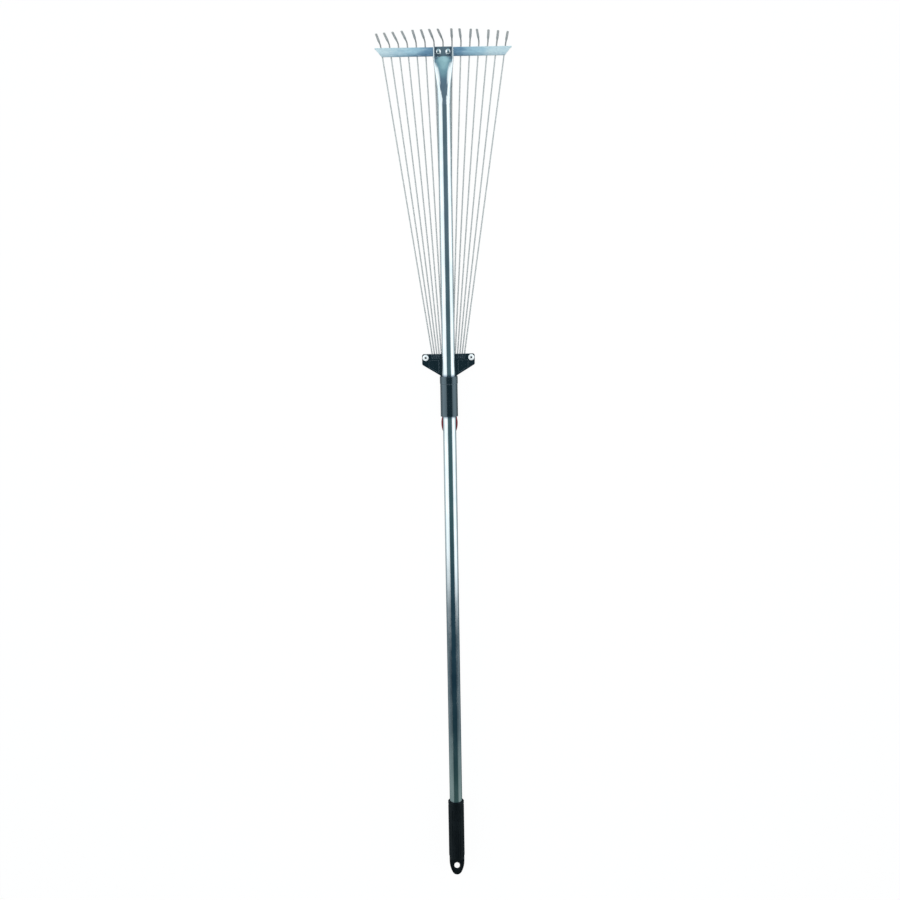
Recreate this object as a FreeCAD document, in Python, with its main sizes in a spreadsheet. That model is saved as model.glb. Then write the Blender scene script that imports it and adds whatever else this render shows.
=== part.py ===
import FreeCAD, Part
import math
import os
import re
import Sketcher

# An adjustable leaf rake, lying on its back: +Y runs along the tube to the tine tips, +X is
# across the head and +Z is up, the way the hooks point. The origin is under the middle of the
# rake, on the surface that it lies on.
#
# The tines pivot in the slider's wings and run through slots in the crossbar, which is riveted
# to the flattened end of the tube. Sliding the slider to the crossbar pushes the tines out
# through the slots and fans them.

document = FreeCAD.newDocument("leaf_rake")

# Driving dimensions in millimetres and degrees. Heights whose name ends in _z are measured from
# the tube's axis, and places along the rake whose name ends in _y from the middle of its length.
DIMENSIONS = (
    ("overall_length", 1640, "tip of the grip to tip of the hooks"),
    ("axis_height", 22.5, "tube axis above the surface that the rake lies on"),
    ("tube_radius", 12.5, "25 mm tube"),
    ("tube_wall", 1, "wall of the tube"),
    ("flare_start_y", 690, "where the round tube starts to flatten"),
    ("flare_turn", 50, "half of the angle of the tube that becomes the flare's front"),
    ("flare_early_y", 712, "first oval section of the flare"),
    ("flare_early_half_width", 13.3, "first oval section of the flare"),
    ("flare_early_broad", 17, "radius of its front and back"),
    ("flare_early_narrow", 11, "radius of its sides"),
    ("flare_mid_y", 734, "second oval section"),
    ("flare_mid_half_width", 14.6, "second oval section"),
    ("flare_mid_broad", 24.5, "radius of its front and back"),
    ("flare_mid_narrow", 8.5, "radius of its sides"),
    ("flare_late_y", 756, "third oval section"),
    ("flare_late_half_width", 16.9, "third oval section"),
    ("flare_late_broad", 34, "radius of its front and back"),
    ("flare_late_narrow", 4, "radius of its sides"),
    ("flare_end_y", 778, "where the tube is flat"),
    ("tongue_width", 38, "flat end of the tube, nearly half as wide as its girth"),
    ("tongue_bead", 6, "height of the round beads along the tongue's edges"),
    ("tongue_thickness", 2.2, "two walls pressed together between the beads"),
    ("tongue_panel", 30.4, "width of that pressed panel"),
    ("tongue_panel_start_y", 777.6, "near end of the pressed panel"),
    ("tongue_panel_slope", 2.6, "length of the slope down to the panel"),
    ("tongue_corner", 2, "cut corners of the tongue"),
    ("grip_length", 157.5, "moulded grip"),
    ("grip_radius", 15.8, "grip over its barrel"),
    ("grip_neck_offset", 6.5, "from the mouth to the shallow neck behind the rim"),
    ("grip_neck_width", 4, "length of that neck"),
    ("flute_count", 14, "hollows along the grip"),
    ("flute_radius", 2.6, "hollows along the grip"),
    ("flute_depth", 0.7, "hollows along the grip"),
    ("flute_start", 14, "from the mouth of the grip"),
    ("flute_margin", 2, "from the hollows to the tab"),
    ("grip_ring_start", 22, "from the mouth of the grip to the first groove round it"),
    ("grip_ring_pitch", 13, "between the grooves round the grip"),
    ("grip_ring_count", 7, "grooves round the grip"),
    ("grip_shoulder", 42, "step from the barrel to the nose, from the end of the grip"),
    ("grip_nose_radius", 15.1, "grip beyond that step"),
    ("grip_nose_length", 30, "from the straight sides to the end of the nose"),
    ("grip_end_radius", 10.6, "round tip of the nose"),
    ("grip_tab_thickness", 10, "flat hanging tab at the nose"),
    ("grip_tab_length", 39, "where the slopes down to the tab start"),
    ("grip_tab_full", 33, "where the tab reaches its thickness"),
    ("hang_hole_width", 11, "oblong hole for a hook on the wall"),
    ("hang_hole_length", 17.5, "along the rake"),
    ("hang_hole_offset", 18.8, "middle of the hole to the end of the grip"),
    ("tube_in_grip", 118, "length of tube inside the grip"),
    ("bar_y", 788.5, "middle of the crossbar"),
    ("bar_width", 16, "face of the crossbar, along the rake"),
    ("bar_half_length", 126, "half of the crossbar's long edge"),
    ("bar_end_slope", 13.5, "how much shorter the near edge is at each end"),
    ("sheet_thickness", 1.2, "galvanised sheet"),
    ("bend_radius", 2, "outside of the crossbar's folds"),
    ("lip_depth", 3.4, "short fold on the near edge, from the face's front"),
    ("tine_count", 15, "number of tines"),
    ("wire_diameter", 2.6, "spring steel wire"),
    ("wire_z", -18, "plane of the tines"),
    ("pivot_y", 224.5, "row of the tines' pivots"),
    ("pivot_pitch", 4.23, "between neighbouring pivots"),
    ("pivot_pin_length", 3.7, "wire turned down into its pivot hole"),
    ("tine_pitch", 16.33, "between neighbouring tines where they cross the slots"),
    ("elbow_radius", 1.5, "turn from the wire to its pivot pin"),
    ("hook_bend_radius", 5, "turn from the wire to its hook"),
    ("hook_angle", 75, "hook against the wire"),
    ("hook_length", 44, "from the turn to the tip"),
    ("hook_round_length", 8, "where the hook starts to flatten"),
    ("hook_flat_start", 17, "where the hook is flat"),
    ("hook_width", 4.4, "flattened hook"),
    ("hook_thickness", 1.6, "flattened hook"),
    ("hook_tip_length", 1.5, "tapered tip of the hook"),
    ("hook_tip_width", 3.1, "end of the tip"),
    ("hook_tip_thickness", 0.8, "end of the tip"),
    ("slot_pitch", 16.82, "between neighbouring slots"),
    ("slot_width", 11, "slot in the crossbar's flange, along X"),
    ("slot_height", 3.8, "slot in the crossbar's flange, along Z"),
    ("rivet_offset", 9.2, "rivet to the middle of the crossbar"),
    ("rivet_y", 787.3, "row of the rivets"),
    ("rivet_radius", 2.5, "shank of the rivet"),
    ("rivet_head_radius", 5.4, "domed head"),
    ("rivet_head_height", 2.8, "domed head"),
    ("rivet_tail_radius", 4.2, "pressed tail behind the crossbar"),
    ("rivet_tail_height", 1.5, "pressed tail"),
    ("rivet_tail_bevel", 1.2, "bevel round the pressed tail"),
    ("sleeve_start_y", 116, "near end of the sleeve"),
    ("sleeve_end_y", 192, "far end of the sleeve"),
    ("sleeve_radius", 16.5, "outside of the sleeve"),
    ("sleeve_clearance", 0.1, "between the sleeve's bore and the tube"),
    ("collar_length", 13.5, "thicker band at the far end"),
    ("collar_radius", 17, "thicker band at the far end"),
    ("groove_width", 1.2, "groove below the collar, and those round the grip"),
    ("groove_depth", 0.6, "groove below the collar, and those round the grip"),
    ("wing_top_y", 234, "far edge of the wings"),
    ("wing_half_width", 50.3, "middle to the outer edge of a wing"),
    ("wing_side_y", 214, "where the outer edge turns inward"),
    ("wing_waist", 17.6, "half width where the wings meet the sleeve"),
    ("wing_waist_y", 194, "where the wings meet the sleeve"),
    ("wing_shoulder", 8, "from the waist to the spine, along the rake"),
    ("wing_spine", 9, "half width of the spine behind the sleeve"),
    ("wing_spine_y", 152, "near end of that spine"),
    ("wing_front_z", -13, "front of the wings"),
    ("wing_back_z", -22.5, "back of the wings"),
    ("wing_corner", 3.6, "round outer corners"),
    ("panel_depth", 1.2, "sunk panels in the front of the wings"),
    ("panel_rim", 3.5, "rim round a sunk panel"),
    ("panel_inner", 18.5, "inner edge of a sunk panel"),
    ("panel_outer", 37.5, "outer edge of a sunk panel"),
    ("rib_width", 2.4, "raised rib over each tine"),
    ("rib_height", 0.7, "raised rib over each tine"),
    ("rib_length", 8.5, "rib, from the far edge"),
    ("cavity_depth", 1.6, "room for the wires in each half of the wings"),
    ("cavity_margin", 3, "from the pivots to the near end of that room"),
    ("cavity_spread", 2.4, "how far its sides spread towards the far edge"),
    ("pivot_clearance", 0.05, "round each pivot pin"),
    ("pivot_end_gap", 0.2, "below each pivot pin"),
    ("screw_x", 43.6, "wing screws"),
    ("screw_y", 227.2, "wing screws"),
    ("screw_radius", 2.5, "M5 shank"),
    ("screw_hole_radius", 2.7, "clearance hole for M5"),
    ("screw_head_radius", 5.8, "domed head"),
    ("screw_head_edge", 0.6, "straight edge under the dome"),
    ("screw_head_height", 3, "domed head"),
    ("screw_socket", 4, "across the flats of the socket in the head"),
    ("screw_socket_depth", 1.8, "socket in the head"),
    ("screw_tip_gap", 0.4, "from the back of the wings to the tip"),
    ("screw_bevel", 0.5, "bevel round the tip"),
    ("nut_flats", 8, "across the flats of the nut"),
    ("nut_height", 2.7, "thin M5 nut"),
    ("nut_clearance", 0.1, "round the nut, and at each end of it"),
    ("lever_pivot_y", 132, "pin of the lock lever"),
    ("lever_pivot_z", -18.5, "pin of the lock lever"),
    ("lever_pin_radius", 2, "4 mm pin"),
    ("lever_hub_radius", 4, "round the pin"),
    ("lever_half_width", 5, "hub of the lever"),
    ("lever_gap_near", 7, "room for the hub in the sleeve, from the pin to its near end"),
    ("lever_gap_far", 8.5, "room for the hub in the sleeve, from the pin to its far end"),
    ("lever_bore_clearance", 0.05, "between the lever and its pin"),
    ("lever_arm_overlap", 4, "how far the lever's arm runs into the paddle"),
    ("cam_lift", 0.85, "how far the cam stands off centre"),
    ("cam_radius", 4.85, "cam that locks on the tube"),
    ("ear_gap", 0.3, "beside the hub"),
    ("ear_thickness", 4, "ears that hold the pin"),
    ("paddle_y", 101, "middle of the lever's paddle"),
    ("paddle_half_width", 15.8, "paddle"),
    ("paddle_half_length", 27, "paddle"),
    ("paddle_front_z", -17.2, "paddle"),
    ("paddle_back_z", -22.5, "paddle"),
    ("paddle_end_y", 124.5, "end of the paddle next to the hub"),
    ("paddle_edge", 1.9, "rounding of the paddle's edge"),
    ("thumb_y", 98, "middle of the hollow for the thumb"),
    ("thumb_half_width", 9.8, "hollow for the thumb"),
    ("thumb_half_length", 14.9, "hollow for the thumb"),
    ("thumb_depth", 1.2, "hollow for the thumb"),
)

# Each hook is bent by hand, so each stands a few degrees off square: degrees towards +X, for
# the tines from -X to +X.
HOOK_TWISTS = (-5, -8, -10, -10, -6, -8, -11, -13, -2, -5, 0, -8, -2, -1, 0)

sheet = document.addObject("Spreadsheet::Sheet", "dims")
for row, (alias, value, note) in enumerate(DIMENSIONS, start=1):
    sheet.set(f"A{row}", note)
    sheet.set(f"B{row}", str(value))
    sheet.setAlias(f"B{row}", alias)
document.recompute()

SIZES = {alias: float(sheet.get(alias)) for alias, value, note in DIMENSIONS}
WHOLE_TURN = 360
ALONG_X = FreeCAD.Vector(1, 0, 0)
ALONG_Z = FreeCAD.Vector(0, 0, 1)


def size(expression):
    """The value of an expression of the sheet's aliases."""
    return float(sheet.evalExpression(expression))


def bind(item, path, expression):
    """Tie a property or a constraint to an expression of the sheet's aliases."""
    def linked(word):
        return f"dims.{word[0]}" if word[0] in SIZES else word[0]
    item.setExpression(path, re.sub("[a-z_]+", linked, expression))


# ---------------------------------------------------------------------------
# Sketch helpers. Every place and size in a sketch is an expression of the sheet.
# ---------------------------------------------------------------------------

def new_body(label):
    body = document.addObject("PartDesign::Body", label)
    body.Label = label
    return body


def origin_item(body, role):
    return next(item for item in body.Origin.OriginFeatures if item.Role == role)


def plane_sketch(body, name, role):
    """A sketch on one of the body's origin planes."""
    sketch = body.newObject("Sketcher::SketchObject", name)
    sketch.AttachmentSupport = [(origin_item(body, role), "")]
    sketch.MapMode = "FlatFace"
    return sketch


def new_sketch(body, name, role, shift="0"):
    """A sketch on an origin plane of the body, moved by shift along the plane's normal."""
    sketch = plane_sketch(body, name, role)
    bind(sketch, "AttachmentOffset.Base.z", shift)
    return sketch


def constrain(sketch, expression, kind, *places):
    index = sketch.addConstraint(Sketcher.Constraint(kind, *places, size(expression)))
    bind(sketch, f"Constraints[{index}]", expression)


def hold(sketch, geometry, point, across, up):
    """Hold a point of the sketch at a place."""
    constrain(sketch, across, "DistanceX", -1, 1, geometry, point)
    constrain(sketch, up, "DistanceY", -1, 1, geometry, point)


def vector(across, up):
    return FreeCAD.Vector(size(across), size(up), 0)


def polygon(sketch, corners):
    """A closed outline of straight edges."""
    count = len(corners)
    points = [vector(*corner) for corner in corners]
    first = sketch.GeometryCount
    for index in range(count):
        sketch.addGeometry(Part.LineSegment(points[index], points[(index + 1) % count]))
    for index in range(count):
        here = first + index
        after = first + (index + 1) % count
        sketch.addConstraint(Sketcher.Constraint("Coincident", here, 2, after, 1))
        hold(sketch, here, 1, *corners[index])


def chain(sketch, corners):
    """Straight edges from each corner to the next. Returns the first edge and the last."""
    first = sketch.GeometryCount
    last = first + len(corners) - 2
    for start, stop in zip(corners, corners[1:]):
        sketch.addGeometry(Part.LineSegment(vector(*start), vector(*stop)))
    for index, corner in enumerate(corners[:-1]):
        hold(sketch, first + index, 1, *corner)
    hold(sketch, last, 2, *corners[-1])
    for index in range(first, last):
        sketch.addConstraint(Sketcher.Constraint("Coincident", index, 2, index + 1, 1))
    return first, last


def arc(sketch, across, up, radius, start, stop):
    """An arc about a place, between two angles in degrees. What it meets holds its ends."""
    whole = Part.Circle(vector(across, up), ALONG_Z, size(radius))
    return sketch.addGeometry(Part.ArcOfCircle(whole, math.radians(start), math.radians(stop)))


def circle(sketch, across, up, radius):
    index = sketch.addGeometry(Part.Circle(vector(across, up), ALONG_Z, size(radius)))
    hold(sketch, index, 3, across, up)
    constrain(sketch, radius, "Radius", index)


def slot(sketch, across, up, width, height):
    """An oblong with half-round ends, centred on (across, up)."""
    wide = size(width) > size(height)
    longer, shorter = (width, height) if wide else (height, width)
    radius = f"({shorter}) / 2"
    reach = f"(({longer}) - ({shorter})) / 2"
    near = (f"({across}) - {reach}", up) if wide else (across, f"({up}) - {reach}")
    far = (f"({across}) + {reach}", up) if wide else (across, f"({up}) + {reach}")
    side = FreeCAD.Vector(0, size(radius), 0) if wide else FreeCAD.Vector(-size(radius), 0, 0)
    turn = -90 if wide else 0
    far_end = arc(sketch, *far, radius, turn, turn + 180)
    near_end = arc(sketch, *near, radius, turn + 180, turn + 360)
    out = sketch.addGeometry(Part.LineSegment(vector(*far) + side, vector(*near) + side))
    back = sketch.addGeometry(Part.LineSegment(vector(*near) - side, vector(*far) - side))
    for one, other in ((far_end, out), (out, near_end), (near_end, back), (back, far_end)):
        sketch.addConstraint(Sketcher.Constraint("Tangent", one, 2, other, 1))
    hold(sketch, near_end, 3, *near)
    if wide:
        constrain(sketch, far[0], "DistanceX", -1, 1, far_end, 3)
    else:
        constrain(sketch, far[1], "DistanceY", -1, 1, far_end, 3)
    constrain(sketch, radius, "Radius", near_end)


def oval(sketch, base, half_width, broad, narrow, inset):
    """Four arcs that run into each other, inset from an oval that stands on base.

    Broad arcs are its front and back, and narrow ones its sides.
    """
    reach = f"(({half_width}) - ({narrow}))"
    rise = f"sqrt((({broad}) - ({narrow})) ^ 2 - {reach} ^ 2)"
    middle = f"({base}) + ({broad}) - {rise}"
    turn = math.degrees(math.atan2(size(reach), size(rise)))
    side_radius = f"({narrow}) - ({inset})"
    front_radius = f"({broad}) - ({inset})"
    right = arc(sketch, reach, middle, side_radius, turn - 90, 90 - turn)
    front = arc(sketch, "0", f"{middle} - {rise}", front_radius, 90 - turn, 90 + turn)
    left = arc(sketch, f"-{reach}", middle, side_radius, 90 + turn, 270 - turn)
    back = arc(sketch, "0", f"{middle} + {rise}", front_radius, 270 - turn, 270 + turn)
    for one, other in ((right, front), (front, left), (left, back), (back, right)):
        sketch.addConstraint(Sketcher.Constraint("Tangent", one, 2, other, 1))
    hold(sketch, right, 3, reach, middle)
    hold(sketch, left, 3, f"-{reach}", middle)
    for index, radius in (
            (right, side_radius), (left, side_radius), (front, front_radius), (back, front_radius)):
        constrain(sketch, radius, "Radius", index)


def ellipse(sketch, across, up, half_width, half_height):
    """An ellipse that is wider across than up if half_width is the larger."""
    centre = vector(across, up)
    side = centre + FreeCAD.Vector(size(half_width), 0, 0)
    crest = centre + FreeCAD.Vector(0, size(half_height), 0)
    wide = size(half_width) > size(half_height)
    ends = (side, crest) if wide else (crest, side)
    index = sketch.addGeometry(Part.Ellipse(ends[0], ends[1], centre))
    sketch.exposeInternalGeometry(index)
    major, minor = index + 1, index + 2
    hold(sketch, index, 3, across, up)
    sketch.addConstraint(Sketcher.Constraint("Horizontal" if wide else "Vertical", major))
    longer, shorter = (half_width, half_height) if wide else (half_height, half_width)
    constrain(sketch, f"2 * ({longer})", "Distance", major)
    constrain(sketch, f"2 * ({shorter})", "Distance", minor)


# ---------------------------------------------------------------------------
# Feature helpers
# ---------------------------------------------------------------------------

def pad(body, name, sketch, length, midplane=False, reverse=False):
    feature = body.newObject("PartDesign::Pad", name)
    feature.Profile = sketch
    bind(feature, "Length", length)
    feature.Midplane = midplane
    feature.Reversed = reverse
    return feature


def check_cut(body, name, before):
    """Stop if the body's newest feature took nothing from the volume that it had before."""
    document.recompute()
    if body.Shape.Volume > before - 0.01:
        raise RuntimeError(f"{body.Label}: {name} cut nothing")


def pocket(body, name, sketch, length, midplane=False, reverse=False):
    document.recompute()
    before = body.Shape.Volume
    feature = body.newObject("PartDesign::Pocket", name)
    feature.Profile = sketch
    bind(feature, "Length", length)
    feature.Midplane = midplane
    feature.Reversed = reverse
    check_cut(body, name, before)
    return feature


def pattern_along_x(body, name, feature, span, count):
    """Repeat a feature along X, count times over span."""
    pattern = body.newObject("PartDesign::LinearPattern", name)
    pattern.Originals = [feature]
    pattern.Direction = (origin_item(body, "X_Axis"), [""])
    bind(pattern, "Length", span)
    bind(pattern, "Occurrences", count)
    body.Tip = pattern
    return pattern


def mirror(body, name, features):
    """Mirror features across the plane X = 0."""
    mirrored = body.newObject("PartDesign::Mirrored", name)
    mirrored.Originals = features
    mirrored.MirrorPlane = (origin_item(body, "YZ_Plane"), [""])
    body.Tip = mirrored
    return mirrored


def ring_groove(body, name, middle, radius, width, depth):
    """A square groove cut round the tube's axis at a place along the rake."""
    sketch = new_sketch(body, f"{name}_outline", "XY_Plane")
    polygon(sketch, (
        (f"{radius} - {depth}", f"{middle} - {width} / 2"),
        (f"{radius} + 1", f"{middle} - {width} / 2"),
        (f"{radius} + 1", f"{middle} + {width} / 2"),
        (f"{radius} - {depth}", f"{middle} + {width} / 2"),
    ))
    document.recompute()
    before = body.Shape.Volume
    feature = body.newObject("PartDesign::Groove", name)
    feature.Profile = sketch
    feature.ReferenceAxis = (origin_item(body, "Y_Axis"), [""])
    feature.Angle = WHOLE_TURN
    check_cut(body, name, before)


def fillet(body, name, chosen, radius):
    """Round the edges of the body that the function chosen accepts."""
    document.recompute()
    tip = body.Tip
    edges = [
        f"Edge{number}" for number, edge in enumerate(tip.Shape.Edges, start=1) if chosen(edge)
    ]
    feature = body.newObject("PartDesign::Fillet", name)
    feature.Base = (tip, edges)
    bind(feature, "Radius", radius)
    document.recompute()
    return feature


def edge_at(direction, **places):
    """Choose straight edges along a direction that pass through the given coordinates."""
    def chosen(edge):
        if not isinstance(edge.Curve, Part.Line):
            return False
        if abs(edge.Curve.Direction.dot(direction)) < 0.999:
            return False
        middle = edge.CenterOfMass
        return all(abs(getattr(middle, axis) - place) < 0.01 for axis, place in places.items())
    return chosen


def place_on_axis(item):
    """Set a piece that is modelled about the tube's axis at the axis' height."""
    item.Placement = FreeCAD.Placement(
        FreeCAD.Vector(0, 0, SIZES["axis_height"]), FreeCAD.Rotation())


# ---------------------------------------------------------------------------
# Handle: tube, grip, crossbar and its rivets
# ---------------------------------------------------------------------------

def round_section(body, name, radius):
    """The flare's first section: a circle in four arcs, like those of the ovals after it."""
    sketch = new_sketch(body, name, "XZ_Plane", "-flare_start_y")
    turn = SIZES["flare_turn"]
    corners = (turn - 90, 90 - turn, 90 + turn, 270 - turn, 270 + turn)
    for start, stop in zip(corners, corners[1:]):
        piece = arc(sketch, "0", "0", radius, start, stop)
        sketch.addConstraint(Sketcher.Constraint("Block", piece))
    return sketch


def oval_section(body, name, place, inset):
    """A later section. The tube is pressed from the front, so its back stays straight."""
    sketch = new_sketch(body, name, "XZ_Plane", f"-{place}_y")
    oval(
        sketch, "-tube_radius", f"{place}_half_width", f"{place}_broad", f"{place}_narrow",
        inset)
    return sketch


def tongue_section(body, name, inset):
    """The flare's last section, which is also the tongue's: flat, with round edges."""
    sketch = new_sketch(body, name, "XZ_Plane", "-flare_end_y")
    slot(
        sketch, "0", "-tube_radius + tongue_bead / 2",
        f"tongue_width - 2 * {inset}", f"tongue_bead - 2 * {inset}")
    return sketch


def flare(body, kind, name, inset):
    feature = body.newObject(kind, name)
    sections = [
        oval_section(body, f"{name}_early", "flare_early", inset),
        oval_section(body, f"{name}_mid", "flare_mid", inset),
        oval_section(body, f"{name}_late", "flare_late", inset),
        tongue_section(body, f"{name}_end", inset),
    ]
    feature.Profile = round_section(body, f"{name}_round", f"tube_radius - {inset}")
    feature.Sections = sections
    document.recompute()
    return feature


def make_handle_tube():
    body = new_body("handle_tube")
    ring = new_sketch(body, "tube_ring", "XZ_Plane", "-flare_start_y")
    circle(ring, "0", "0", "tube_radius")
    pad(body, "tube_pad", ring, "flare_start_y + overall_length / 2 - grip_length + tube_in_grip")
    flare(body, "PartDesign::AdditiveLoft", "flare_outside", "0")

    bore = new_sketch(body, "tube_bore", "XZ_Plane", "-flare_start_y")
    circle(bore, "0", "0", "tube_radius - tube_wall")
    pocket(body, "bore_pocket", bore, "overall_length * 2", reverse=True)
    flare(body, "PartDesign::SubtractiveLoft", "flare_inside", "tube_wall")

    far = "bar_y + bar_width / 2"
    tongue = tongue_section(body, "tongue_outline", "0")
    pad(body, "tongue_pad", tongue, f"{far} - flare_end_y", reverse=True)

    # The panel pressed down between the tongue's beads. Its near end slopes up into the flare.
    panel = new_sketch(body, "tongue_panel_outline", "YZ_Plane")
    floor = "-tube_radius + tongue_thickness"
    above = "-tube_radius + tongue_bead * 2 - tongue_thickness"
    polygon(panel, (
        ("tongue_panel_start_y - tongue_panel_slope", above),
        ("tongue_panel_start_y + tongue_panel_slope", floor),
        (f"{far} + 1", floor),
        (f"{far} + 1", above),
    ))
    pocket(body, "tongue_panel_pocket", panel, "tongue_panel", midplane=True)

    corners = new_sketch(body, "tongue_corners", "XY_Plane")
    beyond = "tube_radius * 2"
    for side in ("-", ""):
        # The triangle's long side crosses the corner at 45 degrees.
        polygon(corners, (
            (f"{side}({beyond})", f"{far} - tongue_corner - ({beyond} - tongue_width / 2)"),
            (f"{side}({beyond})", f"{far} + 1"),
            (f"{side}(tongue_width / 2 - tongue_corner - 1)", f"{far} + 1"),
        ))
    pocket(body, "tongue_corners_pocket", corners, "axis_height * 3", midplane=True)
    holes = new_sketch(body, "tongue_holes", "XY_Plane", "-tube_radius - 1")
    for side in ("-", ""):
        circle(holes, f"{side}rivet_offset", "rivet_y", "rivet_radius")
    pocket(body, "tongue_holes_pocket", holes, "tongue_bead + 2", reverse=True)
    place_on_axis(body)


def make_grip():
    body = new_body("grip")
    end = -SIZES["overall_length"] / 2
    outline = new_sketch(body, "grip_profile", "XY_Plane")
    mouth = "-overall_length / 2 + grip_length"
    tip_centre_y = "-overall_length / 2 + grip_end_radius"
    first_line, last_line = chain(outline, (
        ("0", tip_centre_y),
        ("0", mouth),
        ("grip_radius", mouth),
        ("grip_radius", "-overall_length / 2 + grip_shoulder"),
        ("grip_nose_radius",
         "-overall_length / 2 + grip_shoulder - (grip_radius - grip_nose_radius)"),
        ("grip_nose_radius", "-overall_length / 2 + grip_nose_length"),
    ))

    # The nose is a shallow arc from its sides and a smaller one round the tip, tangent to it.
    tip_radius = SIZES["grip_end_radius"]
    nose = SIZES["grip_nose_radius"]
    run = SIZES["grip_nose_length"] - tip_radius
    side_radius = (nose**2 + run**2 - tip_radius**2) / (2 * (nose - tip_radius))
    side_centre = FreeCAD.Vector(nose - side_radius, end + SIZES["grip_nose_length"], 0)
    tip_centre = FreeCAD.Vector(0, end + tip_radius, 0)
    turn = math.atan2(tip_centre.y - side_centre.y, tip_centre.x - side_centre.x)
    side = outline.addGeometry(
        Part.ArcOfCircle(Part.Circle(side_centre, ALONG_Z, side_radius), turn, 0))
    tip = outline.addGeometry(
        Part.ArcOfCircle(Part.Circle(tip_centre, ALONG_Z, tip_radius), -math.pi / 2, turn))
    stem = outline.addGeometry(Part.LineSegment(
        FreeCAD.Vector(0, end, 0), FreeCAD.Vector(0, end + tip_radius, 0)))
    outline.addConstraint(Sketcher.Constraint("Tangent", side, 2, last_line, 2))
    outline.addConstraint(Sketcher.Constraint("Tangent", tip, 2, side, 1))
    outline.addConstraint(Sketcher.Constraint("Coincident", stem, 1, tip, 1))
    outline.addConstraint(Sketcher.Constraint("Coincident", stem, 2, first_line, 1))
    outline.addConstraint(Sketcher.Constraint("Vertical", stem))
    hold(outline, tip, 3, "0", tip_centre_y)
    barrel = body.newObject("PartDesign::Revolution", "grip_revolution")
    barrel.Profile = outline
    barrel.ReferenceAxis = (origin_item(body, "Y_Axis"), [""])
    barrel.Angle = WHOLE_TURN

    bore = new_sketch(body, "grip_bore", "XZ_Plane", f"-({mouth})")
    circle(bore, "0", "0", "tube_radius")
    pocket(body, "grip_bore_pocket", bore, "tube_in_grip", reverse=True)

    # Hollows along the barrel and grooves round it.
    flute = new_sketch(body, "flute_outline", "XZ_Plane", f"-({mouth}) + flute_start")
    circle(flute, "0", "grip_radius + flute_radius - flute_depth", "flute_radius")
    cut = pocket(
        body, "flute_pocket", flute,
        "grip_length - flute_start - grip_tab_length - flute_margin", reverse=True)
    around = body.newObject("PartDesign::PolarPattern", "flutes")
    around.Originals = [cut]
    around.Axis = (origin_item(body, "Y_Axis"), [""])
    around.Angle = WHOLE_TURN
    bind(around, "Occurrences", "flute_count")
    body.Tip = around
    for number in range(int(SIZES["grip_ring_count"])):
        ring_groove(
            body, f"grip_ring_{number}",
            f"({mouth}) - grip_ring_start - {number} * grip_ring_pitch",
            "grip_radius", "groove_width", "groove_depth")
    ring_groove(
        body, "grip_neck", f"({mouth}) - grip_neck_offset",
        "grip_radius", "grip_neck_width", "groove_depth")

    # Two slopes and two flats turn the nose into a tab.
    flats = new_sketch(body, "tab_flats", "YZ_Plane")
    tab_start = "-overall_length / 2 + grip_tab_length"
    tab_full = "-overall_length / 2 + grip_tab_full"
    beyond = "-overall_length / 2 - 1"
    for side in ("-", ""):
        polygon(flats, (
            (tab_start, f"{side}(grip_radius + 1)"),
            (tab_full, f"{side}grip_tab_thickness / 2"),
            (beyond, f"{side}grip_tab_thickness / 2"),
            (beyond, f"{side}(grip_radius + 1)"),
        ))
    pocket(body, "tab_flats_pocket", flats, "grip_radius * 2 + 2", midplane=True)
    hole = new_sketch(body, "hang_hole", "XY_Plane")
    slot(
        hole, "0", "-overall_length / 2 + hang_hole_offset", "hang_hole_width",
        "hang_hole_length")
    pocket(body, "hang_hole_pocket", hole, "grip_tab_thickness * 2", midplane=True)
    place_on_axis(body)


def make_crossbar():
    """A strip folded lengthwise: a plain face, a deep slotted flange and a short lip."""
    body = new_body("crossbar")
    near = "bar_y - bar_width / 2"
    far = "bar_y + bar_width / 2"
    front = "-tube_radius"
    behind = "-tube_radius - sheet_thickness"
    lip = "-tube_radius - lip_depth"
    section = new_sketch(body, "bar_section", "YZ_Plane")
    polygon(section, (
        (near, lip),
        (near, front),
        (far, front),
        (far, "wing_back_z"),
        (f"{far} - sheet_thickness", "wing_back_z"),
        (f"{far} - sheet_thickness", behind),
        (f"{near} + sheet_thickness", behind),
        (f"{near} + sheet_thickness", lip),
    ))
    pad(body, "bar_pad", section, "2 * bar_half_length", midplane=True)

    folds = (near, far)
    inner = (f"{near} + sheet_thickness", f"{far} - sheet_thickness")
    fillet(
        body, "outer_folds",
        lambda edge: any(
            edge_at(ALONG_X, y=size(place), z=size(front))(edge) for place in folds),
        "bend_radius")
    fillet(
        body, "inner_folds",
        lambda edge: any(
            edge_at(ALONG_X, y=size(place), z=size(behind))(edge) for place in inner),
        "bend_radius - sheet_thickness")

    ends = new_sketch(body, "end_cuts", "XY_Plane")
    for side in ("-", ""):
        polygon(ends, (
            (f"{side}bar_half_length", f"{far} - sheet_thickness"),
            (f"{side}(bar_half_length - bar_end_slope)", f"{near} - 1"),
            (f"{side}(bar_half_length + 1)", f"{near} - 1"),
            (f"{side}(bar_half_length + 1)", f"{far} - sheet_thickness"),
        ))
    pocket(body, "end_cuts_pocket", ends, "axis_height * 3", midplane=True)

    holes = new_sketch(body, "bar_rivet_holes", "XY_Plane", behind)
    for side in ("-", ""):
        circle(holes, f"{side}rivet_offset", "rivet_y", "rivet_radius")
    pocket(body, "bar_rivet_holes_pocket", holes, "sheet_thickness", reverse=True)

    first_slot = new_sketch(body, "first_slot", "XZ_Plane", f"-({far}) + 2 * sheet_thickness")
    slot(
        first_slot, "-slot_pitch * (tine_count - 1) / 2", "wire_z", "slot_width", "slot_height")
    cut = pocket(body, "first_slot_pocket", first_slot, "sheet_thickness * 4")
    pattern_along_x(body, "slots", cut, "slot_pitch * (tine_count - 1)", "tine_count")
    place_on_axis(body)


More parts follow.
